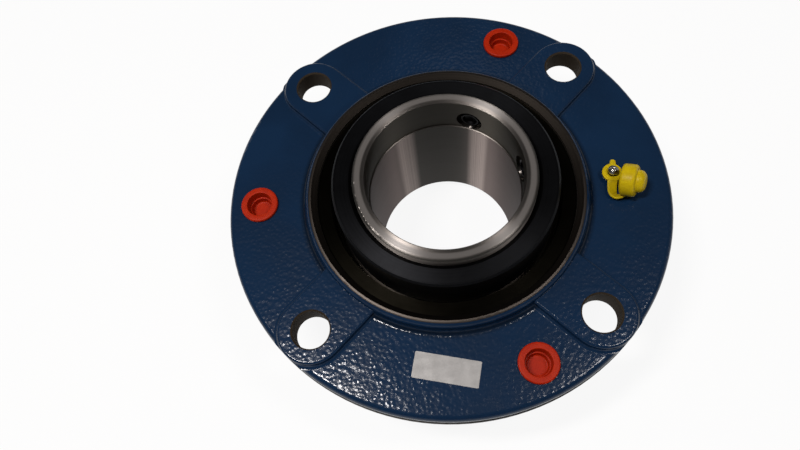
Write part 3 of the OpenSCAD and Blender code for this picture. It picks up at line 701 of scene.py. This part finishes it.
cap_shape = bmesh.new()
add_loops(cap_shape, turned_loops(CAP))
cap_place = (Matrix.Translation(CAP_MOUTH) @ Matrix.Rotation(CAP_TURN, 4, "Z")
             @ Matrix.Rotation(pi / 2 - CAP_LIFT, 4, "Y"))
bmesh.ops.transform(cap_shape, matrix=cap_place, verts=cap_shape.verts)

ring_shape = bmesh.new()
add_loops(ring_shape, turned_loops(RING[:-1]), ring=True)


def tab_outline(inset, up):
    """The outline of the tab: half a circle at each end, with straight sides between them."""
    points = []
    for k in range(48):
        turn = 2 * pi * (k + 0.5) / 48
        far = cos(turn) > 0
        radius = (1.7 if far else 2.2) - inset
        points.append(Vector(((7.36 if far else 4.8) + radius * cos(turn), radius * sin(turn), up)))
    return points


tab_shape = bmesh.new()
add_loops(tab_shape, [tab_outline(*pair) for pair in (
    (0.45, 0.05), (0.15, 0.12), (0.0, 0.4), (0.0, 0.95), (0.15, 1.22), (0.45, 1.33))])
bmesh.ops.rotate(tab_shape, matrix=Matrix.Rotation(radians(78), 3, "Z"), verts=tab_shape.verts)
for part in (ring_shape, tab_shape):
    bmesh.ops.translate(part, vec=NIPPLE + Vector((0, 0, RING_Z)), verts=part.verts)
print("cap, ring and tab:", [len(part.faces) for part in (cap_shape, ring_shape, tab_shape)], "faces")

# %% The path of the strap
STRAP_W = 5.8
STRAP_T = 1.2
STRAP_ROUND = 0.35
STRAP_PATH = [Vector((101.45, -2.0, 14.7)), Vector((99.65, -10.3, 11.3)), Vector((101.45, -13.3, 11.3))]
CAP_AXIS = Vector((cos(CAP_LIFT) * cos(CAP_TURN), cos(CAP_LIFT) * sin(CAP_TURN), sin(CAP_LIFT)))
CAP_SIDE = Vector((sin(CAP_TURN), -cos(CAP_TURN), 0))
STRAP_OUT = CAP_SIDE * cos(radians(50)) + CAP_AXIS.cross(CAP_SIDE) * sin(radians(50))
STRAP_PATH.append(CAP_MOUTH + CAP_AXIS * 2.8 + STRAP_OUT * 9.1)
end_way = (STRAP_PATH[3] - STRAP_PATH[2]).normalized()
end_level = end_way.cross(Vector((0, 0, 1))).normalized()
end_wide = STRAP_OUT.cross(CAP_AXIS)
end_wide = (end_wide - end_way * end_wide.dot(end_way)).normalized()
END_TWIST = atan2(end_level.cross(end_wide).dot(end_way), end_level.dot(end_wide))
print("end twist:", round(END_TWIST * 180 / pi), "degrees")


# %% Helpers for geometry trees
def geometry_tree(name, inputs):
    """An empty Geometry Nodes tree with named float inputs."""
    tree = bpy.data.node_groups.new(name, "GeometryNodeTree")
    sockets = {}
    for key, value in inputs.items():
        socket = tree.interface.new_socket(key, in_out="INPUT", socket_type="NodeSocketFloat")
        socket.default_value = value
        sockets[key] = socket.identifier
    tree.interface.new_socket("Geometry", in_out="OUTPUT", socket_type="NodeSocketGeometry")
    return tree, add(tree, "NodeGroupInput").outputs, add(tree, "NodeGroupOutput"), sockets


def grown(name, tree, sockets, values):
    """The plain mesh that a tree grows, in millimetres, as a bmesh."""
    seed = bpy.data.objects.new(name, bpy.data.meshes.new(name))
    bpy.context.scene.collection.objects.link(seed)
    modifier = seed.modifiers.new("grow", "NODES")
    modifier.node_group = tree
    for key, value in values.items():
        modifier[sockets[key]] = value
    depsgraph = bpy.context.evaluated_depsgraph_get()
    mesh = bpy.data.meshes.new_from_object(seed.evaluated_get(depsgraph))
    bpy.data.objects.remove(seed)
    shape = bmesh.new()
    shape.from_mesh(mesh)
    bpy.data.meshes.remove(mesh)
    return shape


def finish_tree(tree, result, geometry, material):
    """Ends a tree: real geometry that has its material."""
    real = add(tree, "GeometryNodeRealizeInstances", Geometry=geometry).outputs[0]
    dressed = add(tree, "GeometryNodeSetMaterial", Geometry=real, Material=material).outputs[0]
    plug(tree, result, "Geometry", dressed)


# %% Swept strap
sweep, given, result, sweep_sockets = geometry_tree(
    "swept_strap", {"Width": STRAP_W, "Thickness": STRAP_T, "End Twist": 0.0})
path = add(sweep, "GeometryNodeCurvePrimitiveBezierSegment", {"mode": "POSITION"}, Resolution=28,
           Start=STRAP_PATH[0], Start_Handle=STRAP_PATH[1],
           End_Handle=STRAP_PATH[2], End=STRAP_PATH[3]).outputs[0]
path = add(sweep, "GeometryNodeSetCurveNormal", {"mode": "Z_UP"}, Curve=path).outputs[0]
along = add(sweep, "GeometryNodeSplineParameter").outputs["Factor"]
twist = calc(sweep, "MULTIPLY", given["End Twist"], calc(sweep, "MULTIPLY", along, along))
path = add(sweep, "GeometryNodeSetCurveTilt", Curve=path, Tilt=twist).outputs[0]
section = add(sweep, "GeometryNodeCurvePrimitiveQuadrilateral",
              Width=given["Width"], Height=given["Thickness"]).outputs[0]
section = add(sweep, "GeometryNodeFilletCurve", {"mode": "POLY"},
              Curve=section, Count=3, Radius=STRAP_ROUND).outputs[0]
swept = add(sweep, "GeometryNodeCurveToMesh",
            Curve=path, Profile_Curve=section, Fill_Caps=True).outputs[0]
finish_tree(sweep, result, swept, yellow_plastic)

strap_values = {"Width": STRAP_W, "Thickness": STRAP_T, "End Twist": END_TWIST}
strap_shape = grown("strap", sweep, sweep_sockets, strap_values)
print("strap:", len(strap_shape.faces), "faces")

# %% Join the cap
whole = joined(cap_shape, strap_shape, ring_shape, tab_shape)
cap_piece = new_piece("moulded_cap", whole, yellow_plastic)
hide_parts("grease_cap")
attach(cap_piece, "grease_cap")
print("cap:", len(cap_piece.data.polygons), "faces")

# %% [markdown]
# ## Grease nipple
#
# The nipple is turned from hexagon bar, so its hexagon keeps six flats, and the lathe cuts a cone across
# their corners. Above it come a slim neck, the round head that a grease gun grips, and a small mouth
# with the ball inside. Each loop takes the smaller one of the hexagon and the cone.

# %% Nipple
def hexagon(half_flats, limit, up, steps=96):
    """A loop that is a hexagon with its corners cut back to a circle."""
    points = []
    for k in range(steps):
        turn = 2 * pi * k / steps
        radius = min(half_flats / cos(turn % (pi / 3) - pi / 6), limit)
        points.append(Vector((radius * cos(turn), radius * sin(turn), up)))
    return points


NIPPLE_HALF_FLATS = 4.0
NIPPLE_LOW = [(0.75, 3.9), (3.1, 3.9), (3.1, 10.4)]
NIPPLE_HEX = [(4.25, 10.4), (4.62, 10.65), (4.62, 13.3), (4.1, 13.8)]
NIPPLE_TOP = rounded([
    (3.4, 13.8, 0), (2.3, 13.8, 0.35), (2.3, 16.6, 0.5), (3.1, 17.5, 0.35), (3.1, 18.5, 0.3),
    (1.75, 19.97, 0.35), (1.05, 20.0, 0.12), (0.72, 19.6, 0.15), (0.72, 18.8, 0)])
NIPPLE_IN = [(1.35, 18.1), (1.35, 11.2), (0.75, 11.2)]

shape = bmesh.new()
loops = turned_loops(NIPPLE_LOW) + [hexagon(NIPPLE_HALF_FLATS, *pair) for pair in NIPPLE_HEX]
loops += turned_loops(NIPPLE_TOP) + turned_loops(NIPPLE_IN)
add_loops(shape, loops, ring=True)
nipple_piece = new_piece("turned_nipple", shape, zinc, Matrix.Translation(NIPPLE))
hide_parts("grease_nipple")
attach(nipple_piece, "housing")
print("nipple:", len(nipple_piece.data.polygons), "faces")

# %% [markdown]
# ## Set screws
#
# A set screw has a rolled thread over its whole length, a hexagon socket at the outer end and a cup
# point that bites the shaft. The core is turned. The thread is a helix, so Geometry Nodes makes it: a
# spiral is the path, a triangle is the section, and the ridge fades out at both ends. The ridge sits on
# the core, a hair inside the hole of the collar.

# %% Thread of the set screws
SCREW_R = 7.94
SCREW_L = 19.05
PITCH = 1.41
CORE_R = SCREW_R - 0.62 * PITCH
THREAD = {"Radius": 7.5, "Length": 14.8, "Pitch": PITCH}
THREAD_START = 2.3
RIDGE = 0.56
FADE = 30.0

helix, given, result, helix_sockets = geometry_tree("thread", THREAD)
turns = calc(helix, "DIVIDE", given["Length"], given["Pitch"])
path = add(helix, "GeometryNodeCurveSpiral", Resolution=40, Rotations=turns,
           Start_Radius=given["Radius"], End_Radius=given["Radius"], Height=given["Length"]).outputs[0]
path = add(helix, "GeometryNodeSetCurveNormal", {"mode": "Z_UP"}, Curve=path).outputs[0]
along = add(helix, "GeometryNodeSplineParameter").outputs["Length"]
left_over = calc(helix, "SUBTRACT", add(helix, "GeometryNodeSplineLength").outputs["Length"], along)
fade = step(helix, calc(helix, "MINIMUM", along, left_over), 0.0, FADE)
section = add(helix, "GeometryNodeCurvePrimitiveCircle", Resolution=3, Radius=RIDGE).outputs[0]
thread = add(helix, "GeometryNodeCurveToMesh", Curve=path, Profile_Curve=section,
             Scale=calc(helix, "MULTIPLY_ADD", fade, 0.85, 0.15), Fill_Caps=True).outputs[0]
finish_tree(helix, result, thread, screw_black)
print("turns of the thread:", round(THREAD["Length"] / PITCH, 1))

# %% Set screws
SCREW_TIP = 48.43
SCREW_Z = 20.1
SCREW_ANGLES = (67.4, 9.4)
SCREW_STEPS = 48
CUP = [(0.39, 2.86), (1.95, 2.3)]
SCREW_CORE = rounded([
    (3.9, 1.6, 0), (4.9, 0.0, 0.12), (5.5, 0.0, 0.2), (CORE_R, 2.0, 0.4), (CORE_R, SCREW_L - 0.7, 0.2),
    (6.6, SCREW_L, 0.15), (5.0, SCREW_L, 0)], 3)
SOCKET_HALF_FLATS = 3.97
SOCKET_CORNER = 4.6
SOCKET_DEPTH = 9.0
SOCKET = [(1.0, SCREW_L - 0.35), (1.0, SCREW_L - SOCKET_DEPTH), (0.3, SCREW_L - SOCKET_DEPTH - 1.2)]

for number, angle in enumerate(SCREW_ANGLES, 1):
    name = f"set_screw_{number}"
    ridge = grown("thread", helix, helix_sockets, THREAD)
    bmesh.ops.translate(ridge, vec=(0, 0, THREAD_START), verts=ridge.verts)
    core = bmesh.new()
    loops = turned_loops(CUP + [tuple(point) for point in SCREW_CORE], SCREW_STEPS)
    loops += [hexagon(share * SOCKET_HALF_FLATS, share * SOCKET_CORNER, up, SCREW_STEPS)
              for share, up in SOCKET]
    add_loops(core, loops)
    place = (Matrix.Rotation(radians(angle), 4, "Z") @ Matrix.Translation((SCREW_TIP, 0, SCREW_Z))
             @ Matrix.Rotation(pi / 2, 4, "Y"))
    screw_piece = new_piece(f"threaded_screw_{number}", joined(ridge, core), screw_black, place)
    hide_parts(name)
    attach(screw_piece, name)
print("screw:", len(screw_piece.data.polygons), "faces")

# %% [markdown]
# ## Foil label
#
# The label is thin foil with round corners. It was pressed on by hand over a rough casting, so it is not
# quite flat. It stays plain.

# %% Label
LABEL_L, LABEL_W, LABEL_ROUND = 38.0, 15.0, 0.4
LABEL_LOW, LABEL_TOP = 0.03, 0.135
LABEL_R, LABEL_ANGLE = 109.4, 266.7
COLUMNS, LINES = 60, 24

shape = bmesh.new()
points = []
for is_top in (False, True):
    for column in range(COLUMNS + 1):
        across = (column / COLUMNS - 0.5) * LABEL_L
        in_corner = max(0.0, abs(across) - (LABEL_L / 2 - LABEL_ROUND))
        half = LABEL_W / 2 - LABEL_ROUND + sqrt(max(LABEL_ROUND ** 2 - in_corner ** 2, 0.0))
        for line in range(LINES + 1):
            up = (line / LINES - 0.5) * 2 * half
            wave = 0.03 * sin(across * 0.55 + up * 0.2) + 0.025 * sin(up * 0.9 - across * 0.31)
            points.append(shape.verts.new((across, up, LABEL_TOP + wave if is_top else LABEL_LOW)))
stride = LINES + 1
layer = (COLUMNS + 1) * stride
for column in range(COLUMNS):
    for line in range(LINES):
        first = column * stride + line
        corners = (first, first + stride, first + stride + 1, first + 1)
        shape.faces.new([points[k + layer] for k in corners])
        shape.faces.new([points[k] for k in reversed(corners)])
edge = [column * stride for column in range(COLUMNS)]
edge += [COLUMNS * stride + line for line in range(LINES)]
edge += [column * stride + LINES for column in range(COLUMNS, 0, -1)]
edge += [line for line in range(LINES, 0, -1)]
for first, second in zip(edge, edge[1:] + edge[:1]):
    shape.faces.new((points[first], points[second], points[second + layer], points[first + layer]))
label_place = (Matrix.Rotation(radians(LABEL_ANGLE), 4, "Z") @ Matrix.Translation((LABEL_R, 0, FLANGE_T))
               @ Matrix.Rotation(radians(90 - LABEL_TURN), 4, "Z"))
label_piece = new_piece("foil_label", shape, foil, label_place)
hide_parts("label")
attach(label_piece, "housing")
print("label:", len(label_piece.data.polygons), "faces")

# %% [markdown]
# ## Dress the CAD nodes
#
# A CAD node whose shape is already right keeps its mesh, and its material slots take the new finish.

# %% Assign the finishes
FINISHES = {
    "housing": enamel, "outer_ring": race, "seal_carrier": carrier, "retaining_ring": spring_ring,
    "inner_ring": ground, "locking_collar": oxide,
    "guide_ring": carrier, "front_cage": brass, "rear_cage": brass,
    "front_rollers": polished, "rear_rollers": polished,
    "front_shroud": shroud_sheet, "rear_shroud": shroud_sheet,
    "front_seal_lip": rubber, "rear_seal_lip": rubber,
    "nipple_ball": polished, "nipple_spring": spring_wire,
}
for name, material in FINISHES.items():
    mesh = nodes[name].data
    mesh.materials.clear()
    mesh.materials.append(material)
print("finished nodes:", len(FINISHES), "of", len(nodes))
